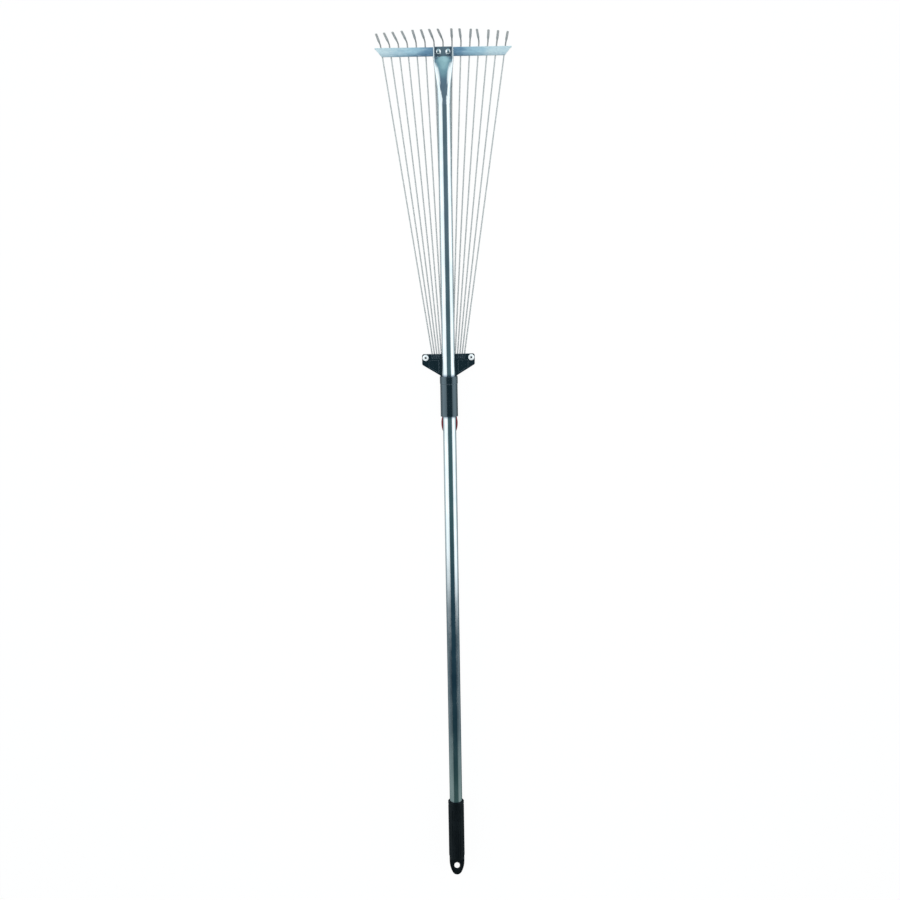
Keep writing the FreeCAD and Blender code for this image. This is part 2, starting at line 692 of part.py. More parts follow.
def domed_pin(body, name, axis, row, rim_z, radius, height, rest):
    """A pin with a domed head, turned about an upright line at a place across and a row along.

    Its profile runs down that line, through the corners of rest, to the rim and over the dome.
    """
    profile = new_sketch(body, f"{name}_profile", "XZ_Plane", f"-({row})")
    ball = f"((({radius}) ^ 2 + ({height}) ^ 2) / 2 / ({height}))"
    crown = (axis, f"({rim_z}) + ({height})")
    rim = (f"({axis}) + ({radius})", rim_z)
    first, last = chain(profile, (crown,) + rest + (rim,))
    start = math.degrees(math.atan2(size(f"{ball} - ({height})"), size(radius)))
    dome = arc(profile, axis, f"({rim_z}) + ({height}) - {ball}", ball, start, 90)
    profile.addConstraint(Sketcher.Constraint("Coincident", last, 2, dome, 1))
    profile.addConstraint(Sketcher.Constraint("Coincident", dome, 2, first, 1))
    constrain(profile, axis, "DistanceX", -1, 1, dome, 3)
    document.recompute()
    spin = body.newObject("PartDesign::Revolution", f"{name}_revolution")
    spin.Profile = profile
    spin.ReferenceAxis = (profile, ["Edge1"])
    spin.Angle = WHOLE_TURN
    document.recompute()
    return spin


def make_crossbar_rivets():
    """Two domed rivets through the tongue and the crossbar."""
    body = new_body("crossbar_rivets")
    body.AllowCompound = True
    head_z = "-tube_radius + tongue_thickness"
    tail_z = "-tube_radius - sheet_thickness"
    axis = "rivet_offset"
    spin = domed_pin(
        body, "rivet", axis, "rivet_y", head_z, "rivet_head_radius", "rivet_head_height", (
            (axis, f"{tail_z} - rivet_tail_height"),
            (f"{axis} + rivet_tail_radius - rivet_tail_bevel", f"{tail_z} - rivet_tail_height"),
            (f"{axis} + rivet_tail_radius",
             f"{tail_z} - rivet_tail_height + rivet_tail_bevel / 2"),
            (f"{axis} + rivet_tail_radius", tail_z),
            (f"{axis} + rivet_radius", tail_z),
            (f"{axis} + rivet_radius", head_z),
        ))
    mirror(body, "both_rivets", [spin])
    place_on_axis(body)


# ---------------------------------------------------------------------------
# Slider: sleeve with the front half of the wings, back plate, screws, nuts
# ---------------------------------------------------------------------------

# Tines are counted from the middle one; those nearer than this run behind the tube and have no
# rib.
FIRST_RIB = 4


def wing_outline(sketch):
    """The outline that both halves of the wings share."""
    right = (
        ("wing_half_width", "wing_top_y"),
        ("wing_half_width", "wing_side_y"),
        ("wing_waist", "wing_waist_y"),
        ("wing_spine", "wing_waist_y - wing_shoulder"),
        ("wing_spine", "wing_spine_y"),
    )
    left = tuple((f"-{across}", up) for across, up in reversed(right))
    polygon(sketch, right + left)


def outer_corners(edge):
    """The wings' outer corners, upright edges."""
    half = SIZES["wing_half_width"]
    corner_rows = (SIZES["wing_top_y"], SIZES["wing_side_y"])
    return any(
        edge_at(ALONG_Z, x=side * half, y=row)(edge) for side in (-1, 1) for row in corner_rows)


def cavity_outline(sketch):
    """Room for the roots of the wires, open at the wings' far edge."""
    near_half = "pivot_pitch * (tine_count - 1) / 2 + wire_diameter"
    far_half = f"{near_half} + cavity_spread"
    polygon(sketch, (
        (near_half, "pivot_y - cavity_margin"),
        (far_half, "wing_top_y + 1"),
        (f"-({far_half})", "wing_top_y + 1"),
        (f"-({near_half})", "pivot_y - cavity_margin"),
    ))


def screw_holes(sketch, radius):
    for side in ("-", ""):
        circle(sketch, f"{side}screw_x", "screw_y", radius)


def make_slider_sleeve():
    body = new_body("slider_sleeve")
    tube = new_sketch(body, "sleeve_ring", "XZ_Plane", "-sleeve_end_y")
    circle(tube, "0", "0", "sleeve_radius")
    pad(body, "sleeve_pad", tube, "sleeve_end_y - sleeve_start_y")
    collar = new_sketch(body, "collar_ring", "XZ_Plane", "-sleeve_end_y")
    circle(collar, "0", "0", "collar_radius")
    pad(body, "collar_pad", collar, "collar_length")

    wings = new_sketch(body, "wing_front_outline", "XY_Plane", "wire_z")
    wing_outline(wings)
    pad(body, "wing_front_pad", wings, "wing_front_z - wire_z")

    ears = new_sketch(body, "ears_outline", "YZ_Plane")
    hub = "lever_hub_radius"
    polygon(ears, (
        (f"lever_pivot_y - {hub}", "-tube_radius - 1"),
        (f"lever_pivot_y - {hub}", f"lever_pivot_z - {hub} / 3"),
        (f"lever_pivot_y - {hub} / 3", f"lever_pivot_z - {hub}"),
        (f"lever_pivot_y + {hub} / 3", f"lever_pivot_z - {hub}"),
        (f"lever_pivot_y + {hub}", f"lever_pivot_z - {hub} / 3"),
        (f"lever_pivot_y + {hub} * 2", "-tube_radius - 1"),
    ))
    pad(body, "ears_pad", ears, "2 * (lever_half_width + ear_gap + ear_thickness)", midplane=True)

    gap = new_sketch(body, "lever_gap", "XY_Plane", "wing_back_z - 1")
    half = "lever_half_width + ear_gap"
    polygon(gap, (
        (half, "lever_pivot_y - lever_gap_near"),
        (half, "lever_pivot_y + lever_gap_far"),
        (f"-({half})", "lever_pivot_y + lever_gap_far"),
        (f"-({half})", "lever_pivot_y - lever_gap_near"),
    ))
    pocket(body, "lever_gap_pocket", gap, "-wing_back_z", reverse=True)

    bore = new_sketch(body, "sleeve_bore", "XZ_Plane", "-sleeve_end_y - 1")
    circle(bore, "0", "0", "tube_radius + sleeve_clearance")
    pocket(body, "sleeve_bore_pocket", bore, "overall_length", reverse=True)

    holes = new_sketch(body, "ear_holes", "YZ_Plane")
    circle(holes, "lever_pivot_y", "lever_pivot_z", "lever_pin_radius")
    pocket(body, "ear_holes_pocket", holes, "4 * sleeve_radius", midplane=True)

    cavity = new_sketch(body, "front_cavity", "XY_Plane", "wire_z")
    cavity_outline(cavity)
    pocket(body, "front_cavity_pocket", cavity, "cavity_depth", reverse=True)

    screws = new_sketch(body, "front_screw_holes", "XY_Plane", "wire_z")
    screw_holes(screws, "screw_hole_radius")
    pocket(body, "front_screw_holes_pocket", screws, "wing_front_z - wire_z", reverse=True)

    panels = new_sketch(body, "front_panels", "XY_Plane", "wing_front_z")
    panel_top = "wing_top_y - rib_length - panel_rim"
    slope = "(wing_side_y - wing_waist_y) / (wing_half_width - wing_waist)"
    for side in ("-", ""):
        polygon(panels, (
            (f"{side}panel_inner", panel_top),
            (f"{side}panel_outer", panel_top),
            (f"{side}panel_outer",
             f"wing_waist_y + (panel_outer - wing_waist) * {slope} + panel_rim"),
            (f"{side}panel_inner",
             f"wing_waist_y + (panel_inner - wing_waist) * {slope} + panel_rim"),
        ))
    pocket(body, "front_panels_pocket", panels, "panel_depth")

    ribs = new_sketch(body, "front_ribs", "XY_Plane", "wing_front_z")
    run = "(bar_y + bar_width / 2 - sheet_thickness / 2 - pivot_y)"
    for side in ("-", ""):
        for count in range(FIRST_RIB, int(SIZES["tine_count"]) // 2 + 1):
            slope = f"{count} * (tine_pitch - pivot_pitch) / {run}"
            rows = ("wing_top_y - rib_length", "wing_top_y")
            root, mouth = (f"{count} * pivot_pitch + {slope} * ({row} - pivot_y)" for row in rows)
            polygon(ribs, (
                (f"{side}({root} - rib_width / 2)", rows[0]),
                (f"{side}({root} + rib_width / 2)", rows[0]),
                (f"{side}({mouth} + rib_width / 2)", rows[1]),
                (f"{side}({mouth} - rib_width / 2)", rows[1]),
            ))
    pad(body, "front_ribs_pad", ribs, "rib_height")

    ring_groove(
        body, "collar_groove", "sleeve_end_y - collar_length - groove_width / 2",
        "sleeve_radius", "groove_width", "groove_depth")
    fillet(body, "wing_corners", outer_corners, "wing_corner")
    place_on_axis(body)


def hexagon(sketch, across, up, flats):
    """A hexagon standing on a corner, measured across its flats."""
    reach = f"({flats}) / sqrt(3)"
    corners = []
    for number in range(6):
        angle = f"{60 * number + 30} * 1deg"
        corners.append((
            f"({across}) + {reach} * cos({angle})",
            f"({up}) + {reach} * sin({angle})",
        ))
    polygon(sketch, corners)


def make_wing_back_plate():
    body = new_body("wing_back_plate")
    outline = new_sketch(body, "back_outline", "XY_Plane", "wing_back_z")
    wing_outline(outline)
    pad(body, "back_pad", outline, "wire_z - wing_back_z")
    cavity = new_sketch(body, "back_cavity", "XY_Plane", "wire_z")
    cavity_outline(cavity)
    pocket(body, "back_cavity_pocket", cavity, "cavity_depth")
    screws = new_sketch(body, "back_screw_holes", "XY_Plane", "wire_z")
    screw_holes(screws, "screw_hole_radius")
    pocket(body, "back_screw_holes_pocket", screws, "wire_z - wing_back_z")
    first_pivot = new_sketch(body, "first_pivot", "XY_Plane", "wire_z - cavity_depth")
    circle(
        first_pivot, "-pivot_pitch * (tine_count - 1) / 2", "pivot_y",
        "wire_diameter / 2 + pivot_clearance")
    cut = pocket(
        body, "first_pivot_pocket", first_pivot,
        "pivot_pin_length - cavity_depth + pivot_end_gap")
    pattern_along_x(body, "pivots", cut, "pivot_pitch * (tine_count - 1)", "tine_count")
    seats = new_sketch(body, "nut_seats", "XY_Plane", "wing_back_z")
    for side in ("-", ""):
        hexagon(seats, f"{side}screw_x", "screw_y", "nut_flats + nut_clearance")
    pocket(body, "nut_seats_pocket", seats, "nut_height + 2 * nut_clearance", reverse=True)
    fillet(body, "back_corners", outer_corners, "wing_corner")
    place_on_axis(body)


def make_wing_screws():
    body = new_body("wing_screws")
    body.AllowCompound = True
    tip = "wing_back_z + screw_tip_gap"
    rim = "wing_front_z + screw_head_edge"
    axis = "screw_x"
    spin = domed_pin(
        body, "screw", axis, "screw_y", rim, "screw_head_radius",
        "screw_head_height - screw_head_edge", (
            (axis, tip),
            (f"{axis} + screw_radius - screw_bevel", tip),
            (f"{axis} + screw_radius", f"{tip} + screw_bevel"),
            (f"{axis} + screw_radius", "wing_front_z"),
            (f"{axis} + screw_head_radius", "wing_front_z"),
        ))
    socket = new_sketch(body, "screw_socket", "XY_Plane", "wing_front_z + screw_head_height")
    hexagon(socket, axis, "screw_y", "screw_socket")
    hollow = pocket(body, "screw_socket_pocket", socket, "screw_socket_depth")
    mirror(body, "both_screws", [spin, hollow])
    place_on_axis(body)


def make_wing_nuts():
    body = new_body("wing_nuts")
    body.AllowCompound = True
    outline = new_sketch(body, "nut_outline", "XY_Plane", "wing_back_z + nut_clearance")
    hexagon(outline, "screw_x", "screw_y", "nut_flats")
    circle(outline, "screw_x", "screw_y", "screw_radius")
    block = pad(body, "nut_pad", outline, "nut_height")
    mirror(body, "both_nuts", [block])
    place_on_axis(body)


# ---------------------------------------------------------------------------
# Lock lever and its pin
# ---------------------------------------------------------------------------

def make_lock_lever():
    body = new_body("lock_lever")
    paddle = new_sketch(body, "paddle_outline", "XY_Plane", "paddle_back_z")
    ellipse(paddle, "0", "paddle_y", "paddle_half_width", "paddle_half_length")
    pad(body, "paddle_pad", paddle, "paddle_front_z - paddle_back_z")
    end = new_sketch(body, "paddle_end_cut", "XY_Plane")
    polygon(end, (
        ("paddle_half_width + 1", "paddle_end_y"),
        ("paddle_half_width + 1", "paddle_end_y + paddle_half_length"),
        ("-paddle_half_width - 1", "paddle_end_y + paddle_half_length"),
        ("-paddle_half_width - 1", "paddle_end_y"),
    ))
    pocket(body, "paddle_end_pocket", end, "axis_height * 3", midplane=True)
    fillet(
        body, "paddle_edges",
        lambda edge: not isinstance(edge.Curve, Part.Line), "paddle_edge")

    arm = new_sketch(body, "arm_outline", "YZ_Plane")
    polygon(arm, (
        ("paddle_end_y - lever_arm_overlap", "paddle_front_z"),
        ("lever_pivot_y", "paddle_front_z"),
        ("lever_pivot_y", "lever_pivot_z - lever_hub_radius"),
        ("paddle_end_y - lever_arm_overlap", "lever_pivot_z - lever_hub_radius"),
    ))
    pad(body, "arm_pad", arm, "2 * lever_half_width", midplane=True)
    hub = new_sketch(body, "hub_outline", "YZ_Plane")
    circle(hub, "lever_pivot_y", "lever_pivot_z", "lever_hub_radius")
    pad(body, "hub_pad", hub, "2 * lever_half_width", midplane=True)
    cam = new_sketch(body, "cam_outline", "YZ_Plane")
    circle(cam, "lever_pivot_y", "lever_pivot_z + cam_lift", "cam_radius")
    pad(body, "cam_pad", cam, "2 * lever_half_width", midplane=True)
    hole = new_sketch(body, "lever_pin_hole", "YZ_Plane")
    circle(hole, "lever_pivot_y", "lever_pivot_z", "lever_pin_radius + lever_bore_clearance")
    pocket(body, "lever_pin_hole_pocket", hole, "4 * lever_half_width", midplane=True)
    thumb = new_sketch(body, "thumb_hollow", "XY_Plane", "paddle_back_z")
    ellipse(thumb, "0", "thumb_y", "thumb_half_width", "thumb_half_length")
    pocket(body, "thumb_hollow_pocket", thumb, "thumb_depth", reverse=True)
    place_on_axis(body)


def make_lever_pin():
    body = new_body("lever_pin")
    outline = new_sketch(body, "pin_outline", "YZ_Plane")
    circle(outline, "lever_pivot_y", "lever_pivot_z", "lever_pin_radius")
    pad(
        body, "pin_pad", outline, "2 * (lever_half_width + ear_gap + ear_thickness)",
        midplane=True)
    place_on_axis(body)


# ---------------------------------------------------------------------------
# Tines
# ---------------------------------------------------------------------------

# Distance from a tine's pivot to the turn of its hook, so that the hooks end the rake's length.
REACH = (
    "(overall_length / 2 - pivot_y - hook_length * cos(hook_angle * 1deg)"
    " - hook_tip_thickness / 2 * sin(hook_angle * 1deg))")


def make_tine(number):
    """A straight wire with a pin turned down at its root and a flattened hook at its tip.

    It is modelled along +Y from its pivot and then turned to its place in the fan.
    """
    body = new_body(f"tine_{number:02d}")
    twist = HOOK_TWISTS[number - 1]
    name = body.Name

    # Pin, elbow and straight wire, in the upright plane along the tine.
    spine = new_sketch(body, f"{name}_spine", "YZ_Plane")
    elbow = size("elbow_radius")
    bend = size("hook_bend_radius")
    angle = math.radians(size("hook_angle"))
    setback = "hook_bend_radius * tan(hook_angle * 1deg / 2)"
    drop = spine.addGeometry(Part.LineSegment(
        vector("0", "-pivot_pin_length"), vector("0", "-elbow_radius")))
    wire = spine.addGeometry(Part.LineSegment(
        vector("elbow_radius", "0"), vector(f"{REACH} - {setback}", "0")))
    centre = FreeCAD.Vector(elbow, -elbow, 0)
    turn = spine.addGeometry(Part.ArcOfCircle(
        Part.Circle(centre, ALONG_Z, elbow), math.pi / 2, math.pi))
    hold(spine, drop, 1, "0", "-pivot_pin_length")
    hold(spine, drop, 2, "0", "-elbow_radius")
    hold(spine, wire, 1, "elbow_radius", "0")
    hold(spine, wire, 2, f"{REACH} - {setback}", "0")
    spine.addConstraint(Sketcher.Constraint("Coincident", turn, 2, drop, 2))
    spine.addConstraint(Sketcher.Constraint("Tangent", turn, 1, wire, 1))
    foot = new_sketch(body, f"{name}_foot", "XY_Plane", "-pivot_pin_length")
    circle(foot, "0", "0", "wire_diameter / 2")
    document.recompute()
    pipe = body.newObject("PartDesign::AdditivePipe", f"{name}_wire")
    pipe.Profile = foot
    pipe.Spine = (spine, [f"Edge{edge}" for edge in range(1, 4)])
    pipe.SpineTangent = False
    document.recompute()

    # The bend of the hook, in a plane twisted about the wire.
    curve = plane_sketch(body, f"{name}_bend_spine", "YZ_Plane")
    curve.AttachmentOffset = FreeCAD.Placement(
        FreeCAD.Vector(), FreeCAD.Rotation(ALONG_X, twist))
    reach = size(REACH)
    start = reach - size(setback)
    centre = FreeCAD.Vector(start, bend, 0)
    knee = curve.addGeometry(Part.ArcOfCircle(
        Part.Circle(centre, ALONG_Z, bend), -math.pi / 2, angle - math.pi / 2))
    hold(curve, knee, 3, f"{REACH} - {setback}", "hook_bend_radius")
    hold(curve, knee, 1, f"{REACH} - {setback}", "0")
    out = FreeCAD.Vector(math.cos(angle), math.sin(angle), 0)
    apex = FreeCAD.Vector(reach, 0, 0)
    stem = curve.addGeometry(Part.LineSegment(
        apex + out * size(setback), apex + out * size("hook_round_length")))
    curve.addConstraint(Sketcher.Constraint("Tangent", knee, 2, stem, 1))
    hold(
        curve, stem, 2, f"{REACH} + hook_round_length * cos(hook_angle * 1deg)",
        "hook_round_length * sin(hook_angle * 1deg)")
    root = new_sketch(body, f"{name}_bend_start", "XZ_Plane", f"-({REACH} - {setback})")
    circle(root, "0", "0", "wire_diameter / 2")
    document.recompute()
    bent = body.newObject("PartDesign::AdditivePipe", f"{name}_bend")
    bent.Profile = root
    bent.Spine = (curve, ["Edge1", "Edge2"])
    document.recompute()

    # The flattened part, through sections square to the hook.
    around = FreeCAD.Rotation(FreeCAD.Vector(0, 1, 0), twist)
    lean = FreeCAD.Rotation(ALONG_X, size("hook_angle") - 90)
    sections = []
    for part, distance, width, thickness in (
        ("round", "hook_round_length", "wire_diameter", "wire_diameter"),
        ("flat", "hook_flat_start", "hook_width", "hook_thickness"),
        ("end", "hook_length - hook_tip_length", "hook_width", "hook_thickness"),
        ("tip", "hook_length", "hook_tip_width", "hook_tip_thickness"),
    ):
        along = size(distance)
        sketch = plane_sketch(body, f"{name}_hook_{part}", "XY_Plane")
        spot = FreeCAD.Vector(0, out.x * along, out.y * along)
        sketch.AttachmentOffset = FreeCAD.Placement(
            FreeCAD.Vector(0, reach, 0) + around.multVec(spot), around.multiply(lean))
        if part == "round":
            circle(sketch, "0", "0", f"{width} / 2")
        else:
            ellipse(sketch, "0", "0", f"{width} / 2", f"{thickness} / 2")
        sections.append(sketch)
    document.recompute()
    blade = body.newObject("PartDesign::AdditiveLoft", f"{name}_blade")
    blade.Profile = sections[0]
    blade.Sections = sections[1:]
    blade.Ruled = True
    document.recompute()

    place = number - (SIZES["tine_count"] + 1) / 2
    run = size("bar_y + bar_width / 2 - sheet_thickness / 2 - pivot_y")
    fan = math.atan2(place * size("tine_pitch - pivot_pitch"), run)
    body.Placement = FreeCAD.Placement(
        FreeCAD.Vector(
            place * SIZES["pivot_pitch"], SIZES["pivot_y"], size("axis_height + wire_z")),
        FreeCAD.Rotation(ALONG_Z, -math.degrees(fan)))


make_handle_tube()
make_grip()
make_crossbar()
make_crossbar_rivets()
make_slider_sleeve()
make_wing_back_plate()
make_wing_screws()
make_wing_nuts()
make_lock_lever()
make_lever_pin()
for number in range(1, int(SIZES["tine_count"]) + 1):
    make_tine(number)
document.recompute()

failed = [item.Label for item in document.Objects if {"Invalid", "Error"} & set(item.State)]
if failed:
    raise RuntimeError(f"failed objects: {failed}")
bodies = [item for item in document.Objects if item.TypeId == "PartDesign::Body"]
for body in bodies:
    if body.Shape.isNull() or not body.Shape.isValid():
        raise RuntimeError(f"{body.Label} has no valid shape")

os.makedirs("parts", exist_ok=True)
for body in bodies:
    body.Shape.exportStep(f"parts/{body.Label}.step")
    box = body.Shape.BoundBox
    print(f"{body.Label}: {len(body.Shape.Solids)} solids, {body.Shape.Volume:.0f} mm3, {box}")
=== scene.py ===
import math

import bpy
from mathutils import Matrix, Vector


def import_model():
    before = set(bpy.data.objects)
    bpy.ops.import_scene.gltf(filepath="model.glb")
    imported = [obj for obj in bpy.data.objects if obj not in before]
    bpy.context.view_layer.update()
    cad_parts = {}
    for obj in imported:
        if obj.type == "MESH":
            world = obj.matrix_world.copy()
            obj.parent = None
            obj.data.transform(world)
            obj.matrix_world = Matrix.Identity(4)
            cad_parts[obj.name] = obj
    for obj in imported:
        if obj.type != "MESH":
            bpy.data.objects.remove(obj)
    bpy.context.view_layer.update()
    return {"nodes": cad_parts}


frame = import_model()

NODES = frame["nodes"]

# Places on the rake that the finishes follow, in metres: where a change starts, and where it is complete.
# CROSSBAR_MIDDLE_X and CROSSBAR_END_X place a painted reflection, dark in the middle and pale at the ends;
# CROSSBAR_DARK_EDGE_Y and CROSSBAR_EDGE_FADE_X place painted shade at the near edge.
CROSSBAR_DARK_EDGE_Y = (0.7885, 0.7812)
CROSSBAR_MIDDLE_X = (0.028, 0.064)
CROSSBAR_END_X = (0.060, 0.100)
CROSSBAR_EDGE_FADE_X = (0.090, 0.040)
# HOOK_Y places painted shade on the hook's bend, and HOOK_TIP_Z painted light on its flattened tip.
HOOK_Y = (0.785, 0.800)
HOOK_TIP_Z = (0.010, 0.030)

# Levels of the noise between which tones and roughness change: large clouds, and fine grain.
CLOUD_LEVELS = (0.3, 0.7)
GRAIN_LEVELS = (0.2, 0.8)

# The cool tint of the glints on black plastic and rubber.
COOL_GLINT = (0.66, 0.88, 1.0)

# The camera, fitted to the photograph.
CAMERA_PLACE = (0.0, 0.3315, 2.0405)
CAMERA_TILT = math.radians(7.924)
CAMERA_ROLL = math.radians(0.983)
CAMERA_LENS_MM = 42.415
SENSOR_WIDTH_MM = 36.0
CLIP_NEAR, CLIP_FAR = 0.05, 60.0

# The floor lies just under the rake, and glows so that it comes out evenly white.
FLOOR_SIZE = 40.0
FLOOR_Z = -0.0004
FLOOR_GREY = (0.068, 0.068, 0.068)
FLOOR_GLOW = 0.935

# The softbox above the rake.
SOFTBOX_PLACE = (0.0, 0.33, 3.0)
SOFTBOX_SIZE = (1.6, 3.0)
SOFTBOX_WATTS = 62.0

# The surroundings depend on the direction alone: x to the right, y to the head, z up, each from -1 to 1.
# Each side panel has an inner edge in x, which shifts inwards or outwards towards the head, and turns from
# grey to white over a stretch in y.
PANEL_SHIFT_Y = (0.22, 0.60)
LEFT_EDGE_X, LEFT_SHIFT, LEFT_END_Y = (-0.45, -0.62), 0.060, (-0.310, -0.215)
RIGHT_EDGE_X, RIGHT_SHIFT, RIGHT_END_Y = (0.60, 0.80), 0.27, (-0.300, -0.245)
BACKDROP_WHITE = (0.98, 0.985, 0.99)
OVERHEAD = (
    (0.130, (0.440, 0.510, 0.530)),
    (0.190, (0.320, 0.385, 0.400)),
    (0.245, (0.075, 0.125, 0.128)),
    (0.275, (0.045, 0.095, 0.088)),
    (0.300, (0.017, 0.048, 0.060)),
    (0.322, (0.012, 0.036, 0.056)),
    (0.360, (0.021, 0.056, 0.080)),
    (0.410, (0.058, 0.128, 0.140)),
    (0.500, (0.075, 0.135, 0.160)),
    (0.550, (0.115, 0.175, 0.220)),
    (0.570, (0.100, 0.165, 0.190)),
    (0.590, (0.112, 0.175, 0.215)),
    (0.670, (0.135, 0.200, 0.250)),
    (0.740, (0.120, 0.190, 0.250)),
    (0.770, (0.130, 0.215, 0.285)),
    (0.833, (0.215, 0.390, 0.460)),
    (0.885, (0.370, 0.610, 0.660)),
    (1.000, (0.390, 0.620, 0.680)),
)


# ---------------------------------------------------------------- node helpers

def node(tree, kind, inputs=None, **settings):
    """Adds a node. An input given as a socket is linked, anything else is set."""
    made = tree.nodes.new(kind)
    for name, value in settings.items():
        setattr(made, name, value)
    for name, value in (inputs or {}).items():
        plug(tree, made.inputs[name], value)
    return made


def plug(tree, socket, value):
    """Links a socket to another, or sets its value."""
    if isinstance(value, bpy.types.NodeSocket):
        tree.links.new(value, socket)
    else:
        socket.default_value = value


def rgba(colour):
    """A colour of three numbers as the four that a socket takes."""
    return (*colour, 1.0)


def math_node(tree, operation, first, second=0.0):
    """The result of one arithmetic step."""
    made = node(tree, "ShaderNodeMath", {0: first, 1: second}, operation=operation)
    return made.outputs[0]


def add(tree, first, second):
    """The sum of two values."""
    return math_node(tree, "ADD", first, second)


def multiply(tree, first, second):
    """The product of two values."""
    return math_node(tree, "MULTIPLY", first, second)


def ramp(tree, value, low, high, start=0.0, end=1.0):
    """Value taken smoothly from start to end as it goes from low to high."""
    inputs = {"Value": value, "From Min": low, "From Max": high, "To Min": start, "To Max": end}
    made = node(tree, "ShaderNodeMapRange", inputs, interpolation_type="SMOOTHSTEP")
    return made.outputs["Result"]


def mix(tree, factor, first, second):
    """Colour between two others."""
    made = node(tree, "ShaderNodeMix", {0: factor}, data_type="RGBA")
    for socket, value in ((made.inputs[6], first), (made.inputs[7], second)):
        plug(tree, socket, rgba(value) if isinstance(value, tuple) else value)
    return made.outputs[2]


def place(tree, stretch=(1.0, 1.0, 1.0)):
    """The piece's own coordinates in metres, stretched along each axis."""
    coordinates = node(tree, "ShaderNodeTexCoord").outputs["Object"]
    return node(tree, "ShaderNodeMapping", {"Vector": coordinates, "Scale": stretch}).outputs[0]


def noise(tree, vector, scale, detail=3.0, roughness=0.5):
    """Cloudy noise from 0 to 1, in features 1/scale metres across."""
    inputs = {"Vector": vector, "Scale": scale, "Detail": detail, "Roughness": roughness}
    return node(tree, "ShaderNodeTexNoise", inputs).outputs["Fac"]


def cells(tree, vector, scale):
    """Distance to the nearest middle of random cells 1/scale metres across."""
    return node(tree, "ShaderNodeTexVoronoi", {"Vector": vector, "Scale": scale}).outputs["Distance"]


def split(tree, vector):
    """The three parts of a vector."""
    return node(tree, "ShaderNodeSeparateXYZ", {0: vector}).outputs


def finish(name, **inputs):
    """A new node material and its Principled shader, with uniform values set on its sockets."""
    material = bpy.data.materials.new(name)
    material.use_nodes = True
    tree = material.node_tree
    tree.nodes.clear()
    shader = node(tree, "ShaderNodeBsdfPrincipled")
    for socket, value in inputs.items():
        shader.inputs[socket.replace("_", " ")].default_value = value
    output = node(tree, "ShaderNodeOutputMaterial")
    tree.links.new(shader.outputs[0], output.inputs["Surface"])
    return material, tree, shader


def edge_mask(tree, reach, strength):
    """Strength on the piece's edges and corners, 0 a little way from them."""
    sharp, flat = 0.86, 0.995
    rounded = node(tree, "ShaderNodeBevel", {"Radius": reach}, samples=6).outputs[0]
    surface = node(tree, "ShaderNodeNewGeometry").outputs["Normal"]
    likeness = node(tree, "ShaderNodeVectorMath", {0: rounded, 1: surface}, operation="DOT_PRODUCT")
    return ramp(tree, likeness.outputs["Value"], flat, sharp, 0.0, strength)


def shaded_in_hollows(tree, colour, hollow_shade, reach, open_above, shaded_below, most=1.0):
    """A colour with painted shade where the piece is hollow: none above one openness, most below the other.
    """
    openness = node(tree, "ShaderNodeAmbientOcclusion", {"Distance": reach}, samples=8).outputs["AO"]
    return mix(tree, ramp(tree, openness, open_above, shaded_below, 0.0, most), colour, hollow_shade)


def clouded(tree, clouds, dark, light):
    """Colour that follows a cloudy noise from dark to light."""
    return mix(tree, ramp(tree, clouds, *CLOUD_LEVELS), dark, light)


def coat(tree, shader, colour, roughness):
    """Gives the shader its colour and roughness."""
    plug(tree, shader.inputs["Base Color"], colour)
    plug(tree, shader.inputs["Roughness"], roughness)


def relief(tree, shader, height, distance, strength, edge=0.0):
    """Bump from a height of 0 to 1 over a distance in metres, with the piece's edges softened."""
    inputs = {"Height": height, "Distance": distance, "Strength": strength}
    if edge:
        inputs["Normal"] = node(tree, "ShaderNodeBevel", {"Radius": edge}, samples=4).outputs[0]
    bump = node(tree, "ShaderNodeBump", inputs)
    tree.links.new(bump.outputs[0], shader.inputs["Normal"])


# ---------------------------------------------------------------- finishes

def tube_metal():
    """Zinc-plated tube: drawn grain, faint clouds, scattered worn specks, and painted shade where it is
    hollow.
    """
    dull, bright = (0.70, 0.755, 0.78), (0.86, 0.895, 0.91)
    bare, tube_hollow_shade = (0.30, 0.33, 0.34), (0.11, 0.16, 0.23)
    material, tree, shader = finish("tube_zinc", Metallic=1.0)
    plain = place(tree)
    grain = noise(tree, place(tree, (1.0, 0.02, 1.0)), scale=2600.0, detail=4.0, roughness=0.6)
    clouds = noise(tree, place(tree, (1.0, 0.35, 1.0)), scale=60.0, detail=4.0, roughness=0.55)
    specks = ramp(tree, cells(tree, plain, scale=260.0), 0.10, 0.04)
    patches = ramp(tree, noise(tree, plain, scale=22.0, detail=2.0), 0.52, 0.66)
    worn = multiply(tree, specks, patches)
    steel = clouded(tree, clouds, dull, bright)
    steel = mix(tree, multiply(tree, worn, 0.6), steel, bare)
    # Painted shade: the colour darkens inside the tube and where it meets other parts.
    steel = shaded_in_hollows(tree, steel, tube_hollow_shade, reach=0.006, open_above=0.98, shaded_below=0.62, most=0.80)
    smooth = add(tree, ramp(tree, clouds, 0.3, 0.75, start=0.05, end=0.11), multiply(tree, grain, 0.04))
    rough = add(tree, smooth, ramp(tree, worn, 0.0, 1.0, start=0.0, end=0.25))
    coat(tree, shader, steel, rough)
    height = math_node(tree, "SUBTRACT", multiply(tree, grain, 0.35), worn)
    relief(tree, shader, height, distance=0.00002, strength=0.7, edge=0.0005)
    return material


